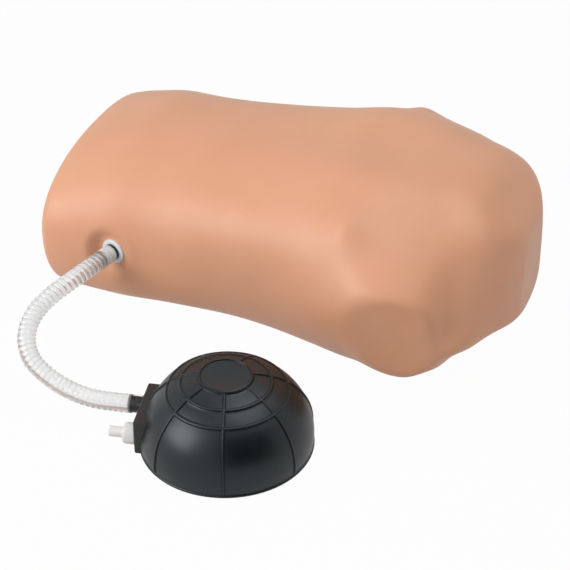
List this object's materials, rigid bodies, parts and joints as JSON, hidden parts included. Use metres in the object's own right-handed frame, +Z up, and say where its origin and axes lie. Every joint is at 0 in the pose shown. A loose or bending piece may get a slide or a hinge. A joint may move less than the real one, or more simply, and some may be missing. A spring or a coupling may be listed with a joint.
{
  "type": "pneumothorax training manikin",
  "caption": "Soft adult torso lying on its back, with air bladders under the skin, joined by a clear ribbed hose from its flank to a domed foot pump on the floor.",
  "frame": {"origin": "on the flat of the back, halfway along the torso, on the plane that the torso and the pump stand on", "axes": "+X from the waist towards the neck, +Y towards the right side of the manikin, away from the pump, +Z up"},
  "size_m": [0.58, 0.6164, 0.2376],
  "materials": {
    "skin": "soft matt flesh-coloured vinyl",
    "foam": "open-cell foam",
    "panel_plastic": "fine grained",
    "steel": "zinc plated",
    "spring_steel": "drawn wire",
    "bladder_film": "smooth latex",
    "line_tube": "clear tube",
    "manifold_plastic": "moulded",
    "white_plastic": "smooth moulded",
    "black_plastic": "moulded",
    "gasket_rubber": "moulded",
    "hose_plastic": "clear ribbed",
    "dome_rubber": "matt moulded",
    "base_plastic": "moulded",
    "nozzle_plastic": "milky, grained"
  },
  "bodies": {
    "manikin": {"torso_skin": "skin", "foam_core": "foam", "back_panel": "panel_plastic", "panel_screws": "steel", "air_manifold": "manifold_plastic", "inlet_line": "line_tube", "front_line_right": "line_tube", "front_line_left": "line_tube", "side_line_right": "line_tube", "side_line_left": "line_tube", "front_bladder_right": "bladder_film", "front_bladder_left": "bladder_film", "side_bladder_right": "bladder_film", "side_bladder_left": "bladder_film", "port_flange": "white_plastic", "port_spigot": "black_plastic", "port_gasket": "gasket_rubber", "port_nut": "black_plastic", "air_hose": "hose_plastic", "pump_dome": "dome_rubber", "pump_base": "base_plastic", "clamp_ring": "base_plastic", "clamp_screws": "steel", "block_screws": "steel", "return_spring": "spring_steel", "valve_block": "black_plastic", "hose_spigot": "black_plastic", "intake_nozzle": "nozzle_plastic", "outlet_cage": "white_plastic", "intake_cage": "white_plastic"},
    "pump_crown": {"spring_plate": "base_plastic"},
    "outlet_valve": {"outlet_flap": "gasket_rubber"},
    "intake_valve": {"intake_flap": "gasket_rubber"}
  },
  "joints": [
    {"name": "pump_stroke", "type": "slide", "parent": "manikin", "child": "pump_crown", "axis": [0, 0, -1], "range_m": [0, 0.045], "stiffness_N_per_m": 1500, "springref_m": -0.01, "deforming": ["pump_dome", "return_spring"]},
    {"name": "outlet_valve_lift", "type": "slide", "parent": "manikin", "child": "outlet_valve", "axis": [-0.9816, -0.1908, 0], "range_m": [0, 0.002], "stiffness_N_per_m": 20, "springref_m": -0.0005},
    {"name": "intake_valve_lift", "type": "slide", "parent": "manikin", "child": "intake_valve", "axis": [0.9816, 0.1908, 0], "range_m": [0, 0.002], "stiffness_N_per_m": 20, "springref_m": -0.0005}
  ]
}
